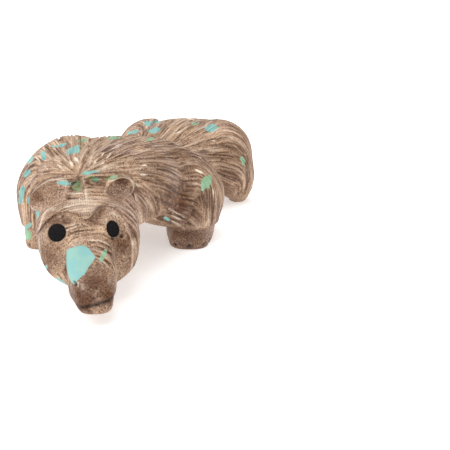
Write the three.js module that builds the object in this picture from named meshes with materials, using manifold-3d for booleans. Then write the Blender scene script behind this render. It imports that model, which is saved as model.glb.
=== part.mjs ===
// A small wolf carved from one piece of brown stone with turquoise in it. The wolf stands on four
// short legs with its body bent to its left, its head low and turned to its left, and its thick
// tail reaching out behind. The fur is cut as long locks that run with the body, down the legs and
// along the tail. Two round eyes of black stone are set into the face. Sizes are in millimetres.
// The wolf looks along -Y, its left side is +X and +Z is up. The origin lies on the ground, under
// the middle of the carving.
import * as THREE from "three";
import { mergeVertices } from "three/addons/utils/BufferGeometryUtils.js";
import Module from "manifold-3d";

const wasm = await Module();
wasm.setup();

// Driving sizes of the carving.
const LOCK_DEPTH = 0.35; // how deep the grooves between two locks of fur are cut
const BELLY = 4.6; // clear height under the belly
const PAW_HEIGHT = 2.7;
const PAW_HALF_WIDTH = 3.2;
const PAW_HALF_LENGTH = 3.6;
const PAW_OUT = 10.7; // from the middle of the body to the middle of a fore paw
const PAW_FORWARD = 2.4;
const PAW_ROUNDNESS = 2.6;
const TOES = 4;
const TOE_DEPTH = 0.3;
const MOUTH_HEIGHT = -5.7; // below the line between the eyes
const MOUTH_REACH = 5; // the slit starts this far in front of the eyes
const MOUTH_SLIT = 0.4;
const MOUTH_DEPTH = 0.6;
const EYE_RADIUS = 1.05;
const EYE_DOME = 0.3;
const EYE_DEPTH = 1.2;
const EYE_GAP = 0.3;
const EYE_SPACING = 6.7;
const EYES_OFF_MIDDLE = -0.4; // the pair of eyes sits a little to the wolf's right
const EYE_FORWARD = 1.4;
const EYE_HEIGHT = 0.5;
const EYE_OUTWARD = THREE.MathUtils.degToRad(30);
const EYE_UPWARD = THREE.MathUtils.degToRad(34);
const BROW_RADIUS = 3.6; // of the round scoop under each brow
const BROW_DEPTH = 1.15;
const BROW_RISE = 0.7; // how far the middle of the scoop lies above the eye
const EAR_THICKNESS = 1.3; // half thickness of an ear before it is hollowed
const EAR_HOLLOW = 0.75; // size of the hollow, as a share of the ear
const EAR_HOLLOW_DEPTH = 1.1;
const SHOULDER_TURN = 17.4; // degrees that each part of the body is turned to the wolf's left
const HAUNCH_TURN = 10.2;
const FACE_TURN = 28.2;
const TO_THE_MIDDLE = new THREE.Vector3(2.5, -10.4, 0); // from the point between the shoulders
const CORNERS_OF_LEG = 40;
const CORNERS_OF_TRUNK = 40;
const CORNERS_OF_PAW = 36;
const CORNERS_OF_SKULL = 36;
const CORNERS_OF_BALL = 18;

const at = (x, y, z) => new THREE.Vector3(x, y, z);
const LEFTWARDS = at(1, 0, 0);
const BACKWARDS = at(0, 1, 0);
const UPWARDS = at(0, 0, 1);

// Axes of a part of the body: x to the wolf's left, y backwards, z up, turned about the vertical.
const axesAt = (x, y, z, degrees) =>
  new THREE.Matrix4().makeRotationZ(THREE.MathUtils.degToRad(degrees)).setPosition(x, y, z);

const SHOULDERS = axesAt(-2.1, 0, 0, SHOULDER_TURN);
const HAUNCHES = axesAt(0.1, 23.4, 0, HAUNCH_TURN);
const FACE = axesAt(2.65, -22.1, 8.35, FACE_TURN); // starts halfway between the eyes

// A closed geometry as a solid that can be joined and cut.
function solidOf(geometry) {
  geometry.deleteAttribute("normal");
  geometry.deleteAttribute("uv");
  const merged = mergeVertices(geometry, 1e-4);
  const mesh = new wasm.Mesh({
    numProp: 3,
    vertProperties: merged.getAttribute("position").array,
    triVerts: new Uint32Array(merged.index.array),
  });
  return new wasm.Manifold(mesh);
}

function geometryOf(solid) {
  const mesh = solid.getMesh();
  const positions = new Float32Array(mesh.numVert * 3);
  for (let i = 0; i < mesh.numVert; i++) {
    positions.set(mesh.vertProperties.subarray(i * mesh.numProp, i * mesh.numProp + 3), i * 3);
  }
  const geometry = new THREE.BufferGeometry();
  geometry.setAttribute("position", new THREE.BufferAttribute(positions, 3));
  geometry.setIndex(new THREE.BufferAttribute(new Uint32Array(mesh.triVerts), 1));
  return geometry;
}

// Rings of equally many points, skinned into one closed body with a point in the middle of each end.
function skin(rings) {
  const sides = rings[0].length;
  const middleOf = (ring) => ring.reduce((sum, p) => sum.add(p), at(0, 0, 0)).divideScalar(sides);
  const points = [middleOf(rings[0]), ...rings.flat(), middleOf(rings.at(-1))];
  const last = points.length - 1;
  const index = [];
  for (let j = 0; j < sides; j++) {
    const next = (j + 1) % sides;
    index.push(0, 1 + next, 1 + j);
    for (let i = 0; i < rings.length - 1; i++) {
      const a = 1 + i * sides + j;
      const b = 1 + i * sides + next;
      index.push(a, b, a + sides, b, b + sides, a + sides);
    }
    index.push(last, last - sides + j, last - sides + next);
  }
  const geometry = new THREE.BufferGeometry().setFromPoints(points);
  geometry.setIndex(index);
  return geometry;
}

// Distance along one axis of a superellipse: circle at roundness 2, squarer above it.
const bulge = (cosine, half, roundness) => half * Math.sign(cosine) * Math.abs(cosine) ** (2 / roundness);

// A carved mass: rings square to a smooth path, given by stations [x, y, z, side, over, under]. A
// ring is a superellipse with the half size side to both sides, over above and under below it. Its
// upper half has the given roundness and its lower half the given flatness, and twist turns it, in
// degrees, about the vertical. Every second corner lies LOCK_DEPTH deeper, which leaves the locks of
// fur standing along the mass.
function mass({ stations, sideways, twist, steps, corners, roundness = 2.2, flatness = roundness }) {
  const curve = (points) => new THREE.CatmullRomCurve3(points, false, "centripetal");
  const route = curve(stations.map(([x, y, z]) => at(x, y, z)));
  const sizes = curve(stations.map(([, , , side, over, under]) => at(side, over, under)));
  const turns = twist && curve(twist.map((degrees, i) => at(THREE.MathUtils.degToRad(degrees), i, 0)));
  const rings = [];
  for (let i = 0; i <= steps; i++) {
    const t = i / steps;
    const size = sizes.getPoint(t);
    const along = turns
      ? BACKWARDS.clone().applyAxisAngle(UPWARDS, turns.getPoint(t).x)
      : route.getTangent(t);
    const over = turns ? UPWARDS.clone() : new THREE.Vector3().crossVectors(along, sideways).normalize();
    const side = new THREE.Vector3().crossVectors(over, along).normalize();
    const ring = [];
    for (let j = 0; j < corners; j++) {
      const angle = (j / corners) * 2 * Math.PI;
      const groove = j % 2 ? LOCK_DEPTH : 0;
      const [upright, power] = Math.sin(angle) > 0 ? [size.y, roundness] : [size.z, flatness];
      const a = bulge(Math.cos(angle), Math.max(size.x - groove, 0.1), power);
      const b = bulge(Math.sin(angle), Math.max(upright - groove, 0.1), power);
      ring.push(route.getPoint(t).addScaledVector(side, a).addScaledVector(over, b));
    }
    rings.push(ring);
  }
  return solidOf(skin(rings));
}

function trunk() {
  return mass({
    stations: [
      [3.0, -17.5, 8.2, 3.6, 2.4, 1.5],
      [1.4, -12.5, 9.2, 7.8, 4.4, 2.6],
      [-1.7, -4, 9.4, 11.8, 6.2, 9.4 - BELLY],
      [-2.8, 3, 9.4, 12.0, 6.1, 9.4 - BELLY],
      [-2.4, 11, 9.3, 9.4, 4.9, 9.3 - BELLY],
      [-1.0, 19, 9.3, 11.4, 5.9, 9.3 - BELLY],
      [0.2, 25, 8.9, 10.4, 5.5, 8.9 - BELLY],
      [0.9, 30.7, 8.2, 5.0, 3.0, 2.8],
    ],
    sideways: LEFTWARDS,
    twist: [24, 20, SHOULDER_TURN, SHOULDER_TURN, 14, HAUNCH_TURN, HAUNCH_TURN, 8],
    steps: 15,
    corners: CORNERS_OF_TRUNK,
    roundness: 2.4,
    flatness: 3.4,
  });
}

function foreleg(side) {
  const leg = mass({
    stations: [
      [side * 5, 0, 9.6, 5.6, 5.0, 4.6],
      [side * 7.8, -0.2, 10.0, 6.7, 5.3, 4.8],
      [side * 10.2, -0.3, 6.8, 6.9, 4.2, 6.0],
      [side * 10.8, -0.8, 3.4, 5.6, 3.5, 4.9],
      [side * 10.7, -1.8, -1, 3.6, 3.1, 2.9],
    ],
    sideways: BACKWARDS,
    steps: 9,
    corners: CORNERS_OF_LEG,
  });
  return leg.transform(SHOULDERS.elements);
}

// A low round paw with notches between its toes, which face forwards.
function paw(side) {
  // share of the paw's height, share of its breadth
  const rows = [[0, 0.93], [0.3, 1], [0.6, 1], [0.85, 0.9], [1, 0.7]];
  const rings = rows.map(([height, scale]) => {
    const ring = [];
    for (let j = 0; j < CORNERS_OF_PAW; j++) {
      const angle = (j / CORNERS_OF_PAW) * 2 * Math.PI;
      const front = Math.max(-Math.sin(angle), 0);
      const notch = front * TOE_DEPTH * Math.cos(TOES * Math.PI * Math.cos(angle)) ** 2;
      const x = bulge(Math.cos(angle), PAW_HALF_WIDTH - notch, PAW_ROUNDNESS) * scale;
      const y = bulge(Math.sin(angle), PAW_HALF_LENGTH - notch, PAW_ROUNDNESS) * scale;
      ring.push(at(side * PAW_OUT + x, y - PAW_FORWARD, height * PAW_HEIGHT));
    }
    return ring;
  });
  return solidOf(skin(rings)).transform(SHOULDERS.elements);
}

function hindleg(side) {
  const leg = mass({
    stations: [
      [side * 4, -0.5, 9.6, 5.8, 5.0, 4.4],
      [side * 7.3, -0.3, 9.3, 6.8, 5.3, 4.8],
      [side * 8.8, 0.2, 6.2, 6.4, 4.1, 4.0],
      [side * 9.3, 0.8, 3.0, 4.4, 3.1, 3.2],
      [side * 9.2, 1.3, -1, 1.4, 1.6, 1.8],
    ],
    sideways: BACKWARDS,
    steps: 9,
    corners: CORNERS_OF_LEG,
  });
  return leg.transform(HAUNCHES.elements);
}

function tail() {
  return mass({
    stations: [
      [0.2, 24, 8.6, 2.6, 2.0, 2.0],
      [0.6, 28.7, 8.8, 3.5, 2.6, 2.6],
      [1.6, 33.6, 7.8, 4.2, 3.0, 3.0],
      [3.1, 39.4, 6.0, 4.1, 2.9, 3.0],
      [4.9, 44.7, 3.9, 3.1, 2.3, 2.4],
      [6.5, 49.2, 2.1, 1.6, 1.3, 1.4],
      [7.3, 51.5, 1.1, 0.4, 0.3, 0.3],
    ],
    sideways: LEFTWARDS,
    steps: 16,
    corners: CORNERS_OF_TRUNK,
    roundness: 2,
  });
}

// The head, or with an inset the same form that much smaller all round.
function skull(inset = 0) {
  // forward, half width, top, bottom and roundness of each ring, on the axes of the face
  const stations = [
    [-9.4, 4.7, 3.4, -3.4, 2.2],
    [-6.6, 6.2, 3.8, -4.4, 2.2],
    [-3.4, 6.2, 3.3, -5.4, 2.3],
    [-0.8, 6.05, 2.3, -6.0, 2.4],
    [1.3, 5.3, 0.9, -6.4, 2.4],
    [3.1, 3.7, -0.6, -6.7, 2.3],
    [5.1, 2.85, -2.0, -6.9, 2.3],
    [7.3, 2.45, -3.3, -7.0, 2.4],
    [8.6, 2.0, -4.1, -6.8, 2.4],
    [9.3, 1.2, -4.7, -6.3, 2.2],
  ];
  const rings = [];
  for (const [forward, half, top, bottom, roundness] of stations) {
    const ring = [];
    for (let j = 0; j < CORNERS_OF_SKULL; j++) {
      const angle = (j / CORNERS_OF_SKULL) * 2 * Math.PI;
      const x = bulge(Math.cos(angle), half - inset, roundness);
      const z = bulge(Math.sin(angle), (top - bottom) / 2 - inset, roundness);
      ring.push(at(x, inset - forward, (top + bottom) / 2 + z));
    }
    rings.push(ring);
  }
  return solidOf(skin(rings));
}

function ball(centre, radii, turn = new THREE.Quaternion()) {
  const geometry = new THREE.SphereGeometry(1, CORNERS_OF_BALL, CORNERS_OF_BALL / 2);
  return solidOf(geometry.applyMatrix4(new THREE.Matrix4().compose(centre, turn, radii)));
}

// A rounded upright tab with a hollow in its front. The ears aren't a pair: the left one stands
// upright, and the right one is wider and leans outwards.
function ear(side) {
  const left = { foot: at(4.9, 5.2, 3.4), wide: 2.0, high: 2.1, lean: 0.2 };
  const right = { foot: at(-4.3, 5.2, 2.9), wide: 2.6, high: 2.0, lean: -0.55 };
  const { foot, wide, high, lean } = side > 0 ? left : right;
  const turn = new THREE.Quaternion().setFromEuler(new THREE.Euler(-0.5, lean, side * 0.3));
  const tab = ball(foot, at(wide, EAR_THICKNESS, high), turn);
  const inFront = at(0, -1.1, 0.35).applyQuaternion(turn);
  const opening = at(wide * EAR_HOLLOW, EAR_HOLLOW_DEPTH * EAR_HOLLOW, high * EAR_HOLLOW);
  const hollow = ball(foot.clone().add(inFront), opening, turn);
  return tab.subtract(hollow);
}

const eyeTurn = (side) =>
  new THREE.Matrix4()
    .makeRotationZ(side * EYE_OUTWARD)
    .multiply(new THREE.Matrix4().makeRotationX(Math.PI / 2 - EYE_UPWARD));

const eyePlace = (side) => at(EYES_OFF_MIDDLE + (side * EYE_SPACING) / 2, -EYE_FORWARD, EYE_HEIGHT);

// A round stone with a low dome, turned about its own axis and set into the face.
function roundStone(side, radius, depth, dome) {
  const profile = [new THREE.Vector2(0, -depth), new THREE.Vector2(radius, -depth)];
  const rows = 4;
  for (let i = 0; i < rows; i++) {
    const angle = (i / rows) * (Math.PI / 2);
    profile.push(new THREE.Vector2(radius * Math.cos(angle), dome * Math.sin(angle)));
  }
  profile.push(new THREE.Vector2(0, dome));
  const geometry = new THREE.LatheGeometry(profile, 20);
  geometry.rotateX(Math.PI / 2);
  return solidOf(geometry.applyMatrix4(eyeTurn(side).setPosition(eyePlace(side))));
}

const eye = (side) => roundStone(side, EYE_RADIUS, EYE_DEPTH, EYE_DOME).transform(FACE.elements);

function head() {
  let form = skull().add(ear(1)).add(ear(-1));
  const slit = new THREE.BoxGeometry(12, 6, MOUTH_SLIT);
  slit.translate(0, -MOUTH_REACH - 3, MOUTH_HEIGHT);
  form = form.subtract(solidOf(slit).subtract(skull(MOUTH_DEPTH)));
  for (const side of [1, -1]) {
    const outwards = at(0, BROW_RISE, BROW_RADIUS - BROW_DEPTH).applyMatrix4(eyeTurn(side));
    const middle = eyePlace(side).add(outwards);
    const underBrow = ball(middle, at(1, 1, 1).multiplyScalar(BROW_RADIUS));
    const socket = roundStone(side, EYE_RADIUS + EYE_GAP, EYE_DEPTH + EYE_GAP, BROW_RADIUS);
    form = form.subtract(underBrow).subtract(socket);
  }
  return form.transform(FACE.elements);
}

function wolf() {
  const pieces = [trunk(), tail(), head()];
  for (const side of [1, -1]) {
    pieces.push(foreleg(side), paw(side), hindleg(side));
  }
  const aboveGround = new THREE.BoxGeometry(100, 200, 60);
  aboveGround.translate(0, 0, 30);
  const joined = wasm.Manifold.union(pieces).intersect(solidOf(aboveGround));
  // Where the grooves of two masses cross, small closed pockets stay inside. The stone has none, so
  // only the outer skin is kept.
  return joined.decompose().reduce((most, body) => (body.volume() > most.volume() ? body : most));
}

const carving = new THREE.Group();

function addPiece(name, solid, color, roughness) {
  const material = new THREE.MeshStandardMaterial({ color, roughness, metalness: 0 });
  const mesh = new THREE.Mesh(geometryOf(solid), material);
  mesh.name = name;
  mesh.position.copy(TO_THE_MIDDLE);
  carving.add(mesh);
}

addPiece("wolf", wolf(), 0x8f7160, 0.5);
addPiece("left_eye", eye(1), 0x141416, 0.25);
addPiece("right_eye", eye(-1), 0x141416, 0.25);

export default carving;
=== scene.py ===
"""A small wolf carved from brown stone with turquoise in it, with inlaid eyes of black stone.

The forms are worked out in millimetres from the point between the shoulders, as the carving's own
solids are, and go into the frame, in metres, as the last step. The wolf looks along -Y, its left side
is +X and +Z is up. Masses are joined into one skin, the face, ears and paws are worked into it, and
then the fur is combed and cut over it stroke by stroke.
"""
import math

import bpy
import numpy as np
from mathutils import Euler, Matrix, Vector
from mathutils.bvhtree import BVHTree


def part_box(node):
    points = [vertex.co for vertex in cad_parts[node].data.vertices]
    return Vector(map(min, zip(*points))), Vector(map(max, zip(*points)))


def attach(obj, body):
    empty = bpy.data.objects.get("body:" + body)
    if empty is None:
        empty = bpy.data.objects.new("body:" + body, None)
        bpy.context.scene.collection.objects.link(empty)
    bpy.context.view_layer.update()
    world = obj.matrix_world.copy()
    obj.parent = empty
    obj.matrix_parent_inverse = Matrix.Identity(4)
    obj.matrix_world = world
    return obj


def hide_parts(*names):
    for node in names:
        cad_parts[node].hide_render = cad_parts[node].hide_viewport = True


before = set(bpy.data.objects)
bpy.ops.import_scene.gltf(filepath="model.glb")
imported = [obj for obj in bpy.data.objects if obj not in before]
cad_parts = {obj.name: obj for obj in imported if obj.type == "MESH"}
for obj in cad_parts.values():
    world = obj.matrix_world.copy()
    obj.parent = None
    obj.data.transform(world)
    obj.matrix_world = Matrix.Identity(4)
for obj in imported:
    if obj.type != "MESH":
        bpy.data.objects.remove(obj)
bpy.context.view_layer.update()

MM = 0.001

# Axes of the body, in millimetres and degrees.
SHOULDER_TURN = 17.4
HAUNCH_TURN = 10.2
FACE_TURN = 28.2
BELLY = 4.6
SHOULDERS = (-2.1, 0.0, 0.0)
HAUNCHES = (0.1, 23.4, 0.0)
BETWEEN_THE_EYES = (2.65, -22.1, 8.35)

# Eyes, on the axes of the face.
EYE_RADIUS = {1: 0.97, -1: 1.05}
EYE_DOME = 0.16
EYE_DEPTH = 0.6
EYE_SUNK = 0.5
EYE_SPACING = 6.85
EYES_OFF_MIDDLE = -0.33
EYE_FORWARD = 1.4
EYE_HEIGHT = 0.5
EYE_UPWARD = {1: 22.0, -1: 32.0}
EYE_OUTWARD = {1: 42.0, -1: 18.0}

# Working of the skin.
VOXEL = 0.12
SMOOTHING_ROUNDS = 10
MOST_TRIANGLES = 196000

rng = np.random.default_rng(7)


def turned(origin, degrees):
    """Axes x to the wolf's left, y backwards and z up, turned about the vertical, as a 4x4 matrix."""
    return Matrix.Translation(origin) @ Matrix.Rotation(math.radians(degrees), 4, "Z")


def apply(matrix, points):
    """Points carried by a 4x4 matrix, whole array at once."""
    m = np.array(matrix)
    return points @ m[:3, :3].T + m[:3, 3]


def seen_in(matrix, points):
    """Points of the body in the axes that the matrix carries."""
    return apply(matrix.inverted(), points)


def axis_of(matrix, column):
    """One axis of the matrix, as a unit vector of the body."""
    return np.array(matrix.to_3x3().col[column])


shoulders = turned(SHOULDERS, SHOULDER_TURN)
haunches = turned(HAUNCHES, HAUNCH_TURN)
face = turned(BETWEEN_THE_EYES, FACE_TURN)


def unit(vectors):
    return vectors / np.maximum(np.linalg.norm(vectors, axis=-1, keepdims=True), 1e-12)


def smoothstep(low_end, high_end, values):
    """0 up to the low end, 1 from the high end, and 3 t squared less 2 t cubed between them."""
    t = np.clip((values - low_end) / (high_end - low_end), 0, 1)
    return t * t * (3 - 2 * t)


def curve(points, t):
    """The smooth curve through the points at each t from 0 to 1: between two points it is the cubic
    that meets both, with slopes taken from their neighbours in proportion to the root of the spans."""
    points = np.asarray(points, float)
    spans = len(points) - 1
    padded = np.vstack([2 * points[0] - points[1], points, 2 * points[-1] - points[-2]])
    at = np.clip(np.asarray(t) * spans, 0, spans)
    k = np.minimum(at.astype(int), spans - 1)
    u = (at - k)[:, None]
    p0, p1, p2, p3 = (padded[k + i] for i in range(4))

    def span(a, b):
        return np.sum((b - a) ** 2, axis=1, keepdims=True) ** 0.25

    middle = span(p1, p2)
    middle = np.where(middle < 1e-4, 1, middle)
    before = np.where(span(p0, p1) < 1e-4, middle, span(p0, p1))
    after = np.where(span(p2, p3) < 1e-4, middle, span(p2, p3))
    m1 = ((p1 - p0) / before - (p2 - p0) / (before + middle) + (p2 - p1) / middle) * middle
    m2 = ((p2 - p1) / middle - (p3 - p1) / (middle + after) + (p3 - p2) / after) * middle
    return p1 + m1 * u + (3 * (p2 - p1) - 2 * m1 - m2) * u**2 + (2 * (p1 - p2) + m1 + m2) * u**3


def bulge(cosine, half, roundness):
    """Distance along one axis of a superellipse: circle at roundness 2, squarer above it."""
    return half * np.sign(cosine) * np.abs(cosine) ** (2 / roundness)


def circle(count):
    """Angles spread evenly round a circle."""
    return np.linspace(0, 2 * math.pi, count, endpoint=False)


def mass(stations, sideways, twist=None, roundness=2.2, flatness=None):
    """Rings of a carved mass: superellipses square to a smooth path. Stations are [x, y, z, side, over,
    under]: a ring reaches side to both sides, over above and under below the path, with the given
    roundness above and flatness below. Where twist is given, the rings stand upright and are turned by
    it, in degrees."""
    stations = np.array(stations, float)
    flatness = flatness or roundness
    t = np.linspace(0, 1, 61)
    centre = curve(stations[:, :3], t)
    side, over, under = curve(stations[:, 3:], t).T[:, :, None]
    if twist:
        rows = [[math.radians(d), i, 0] for i, d in enumerate(twist)]
        angle = curve(rows, t)[:, 0]
        along = np.stack([-np.sin(angle), np.cos(angle), 0 * angle], axis=1)
        upwards = np.broadcast_to([0.0, 0.0, 1.0], along.shape)
    else:
        along = unit(np.gradient(centre, axis=0))
        upwards = unit(np.cross(along, sideways))
    sidewards = unit(np.cross(upwards, along))
    around = circle(80)
    c, s = np.cos(around), np.sin(around)
    power = np.where(s > 0, roundness, flatness)
    a = bulge(c, side, power)
    b = bulge(s, np.where(s > 0, over, under), power)
    return centre[:, None] + a[..., None] * sidewards[:, None] + b[..., None] * upwards[:, None]


def closed(rings):
    """Vertices and faces of the closed skin over the rings, with a point in the middle of each end.
    Nothing reaches below the ground."""
    count, corners, _ = rings.shape
    verts = np.vstack([rings[0].mean(0), rings.reshape(-1, 3), rings[-1].mean(0)])
    verts[:, 2] = np.maximum(verts[:, 2], 0)
    j = np.arange(corners)
    after = (j + 1) % corners
    first = 1 + np.arange(count - 1)[:, None] * corners
    a, b = (first + j).ravel(), (first + after).ravel()
    sides = np.concatenate([np.stack([a, b, a + corners]), np.stack([b, b + corners, a + corners])], 1)
    last = len(verts) - 1
    start = np.stack([0 * j, 1 + after, 1 + j])
    end = np.stack([0 * j + last, last - corners + j, last - corners + after])
    return verts, np.concatenate([start, sides, end], axis=1).T


LEFTWARDS = (1.0, 0.0, 0.0)
BACKWARDS = (0.0, 1.0, 0.0)


def trunk():
    return mass(
        [
            [3.0, -17.5, 8.2, 3.6, 2.4, 1.5],
            [1.4, -12.5, 9.2, 7.8, 4.0, 2.6],
            [-2.1, -4, 9.4, 10.7, 5.5, 9.4 - BELLY],
            [-3.0, 3, 9.3, 10.8, 5.6, 9.3 - BELLY],
            [-1.5, 11, 9.0, 8.8, 3.2, 9.0 - BELLY],
            [0.4, 18.5, 9.2, 8.6, 4.9, 9.2 - BELLY],
            [0.9, 25, 8.9, 9.4, 5.6, 8.9 - BELLY],
            [1.0, 30.7, 8.2, 5.2, 3.2, 2.8],
        ],
        LEFTWARDS,
        twist=[24, 20, SHOULDER_TURN, SHOULDER_TURN, 14, HAUNCH_TURN, HAUNCH_TURN, 8],
        roundness=2.4,
        flatness=3.4,
    )


def mane():
    """The mane ends in front in a collar that stands up behind the ears."""
    return mass(
        [
            [-0.6, -15.6, 9.0, 5.9, 4.1, 2.4],
            [-1.0, -13.5, 9.2, 7.6, 4.6, 3.4],
            [-1.6, -9.5, 9.4, 9.0, 5.2, 4.2],
            [-2.0, -4.0, 9.4, 9.4, 5.6, 4.2],
        ],
        LEFTWARDS,
        twist=[27, 25, 20, SHOULDER_TURN],
        roundness=2.5,
    )


# How high and how far out the shoulders and forelegs stand: the left shoulder is the lower.
SHOULDER_HEIGHT = {1: 9.0, -1: 9.8}
SHOULDER_OVER = {1: 4.6, -1: 5.5}
SHOULDER_OUT = {1: 10.5, -1: 10.8}
ELBOW_OUT = {1: 10.8, -1: 11.5}
PAW_OUT = {1: 10.0, -1: 11.1}


def foreleg(side):
    height, over = SHOULDER_HEIGHT[side], SHOULDER_OVER[side]
    rings = mass(
        [
            [side * 5, 0.4, height - 0.2, 5.6, over, 4.6],
            [side * 7.6, 0.4, height, 6.4, over, 4.8],
            [side * SHOULDER_OUT[side], 0.8, height - 2.4, 6.2, 4.8, 6.2],
            [side * ELBOW_OUT[side], -0.3, 3.4, 5.0, 3.7, 5.2],
            [side * PAW_OUT[side], -1.8, -1, 3.4, 2.6, 2.9],
        ],
        (0.0, side, 0.0),
    )
    return apply(shoulders, rings)


def brisket():
    """The front of the chest, from one foreleg to the other, lower where it meets them."""
    half = [[3.0, -6.5, 7.7, 3.2, 3.0, 3.0], [6.0, -5.5, 6.9, 3.2, 3.0, 3.2], [9.0, -4.0, 5.8, 3.0, 3.0, 3.0]]
    other = [[-row[0], *row[1:]] for row in reversed(half)]
    return apply(shoulders, mass(other + half, BACKWARDS))


# How far out the thighs, knees and hind feet stand.
THIGH_OUT = {1: 7.1, -1: 6.2}
HAUNCH_BACK = {1: 0.0, -1: 0.9}
KNEE_OUT = {1: 9.8, -1: 7.2}
HIND_FOOT_OUT = {1: 10.1, -1: 6.8}


def hindleg(side):
    rings = mass(
        [
            [side * 4, HAUNCH_BACK[side] - 0.5, 9.6, 5.8, 4.8, 4.4],
            [side * THIGH_OUT[side], HAUNCH_BACK[side] - 0.3, 9.2, 6.4, 5.0, 4.8],
            [side * (THIGH_OUT[side] + 1.7), HAUNCH_BACK[side] + 0.2, 6.2, 6.2, 4.1, 4.0],
            [side * KNEE_OUT[side], 0.8, 3.2, 4.4, 3.2, 3.3],
            [side * HIND_FOOT_OUT[side], 1.3, 1.5, 3.2, 2.2, 2.2],
            [side * HIND_FOOT_OUT[side], 1.5, 0.2, 2.4, 1.5, 1.5],
        ],
        (0.0, side, 0.0),
    )
    return apply(haunches, rings)


def tail():
    return mass(
        [
            [0.2, 24, 8.6, 2.6, 2.0, 2.0],
            [0.6, 28.7, 8.8, 3.5, 2.6, 2.6],
            [1.6, 33.6, 7.8, 4.2, 3.0, 3.0],
            [3.1, 39.4, 6.0, 4.1, 2.9, 3.0],
            [4.9, 44.7, 3.9, 3.1, 2.3, 2.4],
            [6.5, 49.2, 2.1, 1.6, 1.3, 1.4],
            [7.3, 51.1, 1.1, 0.4, 0.3, 0.3],
        ],
        LEFTWARDS,
        roundness=2,
    )


PAW_FORWARD = 2.4
PAW_HEIGHT = 2.7
PAW_HALF = (3.0, 3.6)
PAW_ROUNDNESS = 2.6


def paw(side):
    """A low round paw: superellipses stacked up, each scaled by a share that narrows to the top."""
    rows = curve([[0, 0.95, 0], [0.3, 1, 0], [0.6, 1, 0], [0.85, 0.9, 0], [1, 0.7, 0]], np.linspace(0, 1, 13))
    around = circle(120)
    share = rows[:, 1:2]
    x = side * PAW_OUT[side] + bulge(np.cos(around), PAW_HALF[0], PAW_ROUNDNESS) * share
    y = bulge(np.sin(around), PAW_HALF[1], PAW_ROUNDNESS) * share - PAW_FORWARD
    z = np.broadcast_to(rows[:, :1] * PAW_HEIGHT, x.shape)
    return apply(shoulders, np.stack([x, y, z], axis=-1))


def head_rings(stations, off_middle):
    """Superellipses square to the line of sight of the head: forward, half width, top, bottom and
    roundness of each, on the axes of the face."""
    forward, half, top, bottom, roundness = curve(stations, np.linspace(0, 1, 61)).T[:, :, None]
    around = circle(96)
    x = off_middle + bulge(np.cos(around), half, roundness)
    z = (top + bottom) / 2 + bulge(np.sin(around), (top - bottom) / 2, roundness)
    y = np.broadcast_to(-forward, x.shape)
    return apply(face, np.stack([x, y, z], axis=-1))


def skull():
    return head_rings(
        [
            [-9.4, 4.7, 3.2, -3.4, 2.2],
            [-6.6, 6.0, 3.6, -4.4, 2.2],
            [-3.4, 6.2, 3.3, -5.4, 2.3],
            [-0.8, 6.0, 2.5, -5.9, 2.3],
            [1.0, 5.5, 1.3, -6.3, 2.4],
            [2.2, 4.5, 0.1, -6.3, 2.4],
            [3.0, 3.2, -1.2, -6.2, 2.3],
            [3.4, 2.0, -2.4, -5.8, 2.2],
        ],
        off_middle=0.1,
    )


def muzzle():
    """A wedge with a flat bridge, square edges and a blunt end."""
    return head_rings(
        [
            [-1.0, 2.7, 1.3, -6.3, 3.2],
            [1.6, 2.75, 0.7, -6.6, 3.4],
            [3.6, 2.75, -0.75, -6.8, 3.6],
            [5.4, 2.65, -2.0, -6.95, 3.6],
            [7.3, 2.3, -3.2, -7.0, 3.4],
            [8.6, 1.95, -4.0, -6.8, 3.0],
            [9.3, 1.3, -4.7, -6.4, 2.6],
        ],
        off_middle=-0.05,
    )


EARS = {
    "left": {"foot": (4.5, 5.0, 3.2), "wide": 2.1, "high": 2.2, "lean": 0.2, "turn": 0.3},
    "right": {"foot": (-4.0, 5.0, 2.9), "wide": 3.0, "high": 2.2, "lean": -0.5, "turn": -0.3},
}
EAR_TILT = -0.5
EAR_THICKNESS = 1.3


def ear_axes(ear):
    turn = Euler((EAR_TILT, ear["lean"], ear["turn"]), "XYZ").to_matrix().to_4x4()
    return face @ Matrix.Translation(ear["foot"]) @ turn


def ear_tab(ear):
    """An ellipsoid by its latitude and longitude, on the ear's own axes."""
    latitude = np.linspace(0, math.pi, 24)[:, None]
    longitude = circle(48)
    x = ear["wide"] * np.sin(latitude) * np.cos(longitude)
    y = EAR_THICKNESS * np.sin(latitude) * np.sin(longitude)
    z = np.broadcast_to(ear["high"] * np.cos(latitude), x.shape)
    return apply(ear_axes(ear), np.stack([x, y, z], axis=-1))[::-1]


def new_mesh(name, verts, faces):
    mesh = bpy.data.meshes.new(name)
    mesh.from_pydata(verts.tolist(), [], faces.tolist())
    mesh.update()
    return mesh


def evaluated(mesh, *modifiers):
    """A copy of the mesh with the modifiers applied, each given as its type and settings."""
    working = bpy.data.objects.new("working", mesh)
    bpy.context.scene.collection.objects.link(working)
    for kind, settings in modifiers:
        modifier = working.modifiers.new(kind.lower(), kind)
        for key, value in settings.items():
            setattr(modifier, key, value)
    graph = bpy.context.evaluated_depsgraph_get()
    made = bpy.data.meshes.new_from_object(working.evaluated_get(graph))
    bpy.data.objects.remove(working)
    return made


def joined_forms():
    """All masses as one mesh, still passing through each other."""
    parts = [trunk(), mane(), brisket(), tail(), skull(), muzzle()]
    for side in (1, -1):
        parts += [foreleg(side), paw(side), hindleg(side)]
    parts += [ear_tab(ear) for ear in EARS.values()]
    verts, faces, count = [], [], 0
    for rings in parts:
        v, f = closed(rings)
        verts.append(v)
        faces.append(f + count)
        count += len(v)
    return np.concatenate(verts), np.concatenate(faces)


def vectors_of(collection, field):
    """One vector for each element of a mesh's collection, as an array."""
    values = np.empty(len(collection) * 3, np.float32)
    collection.foreach_get(field, values)
    return values.reshape(-1, 3).astype(float)


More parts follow.
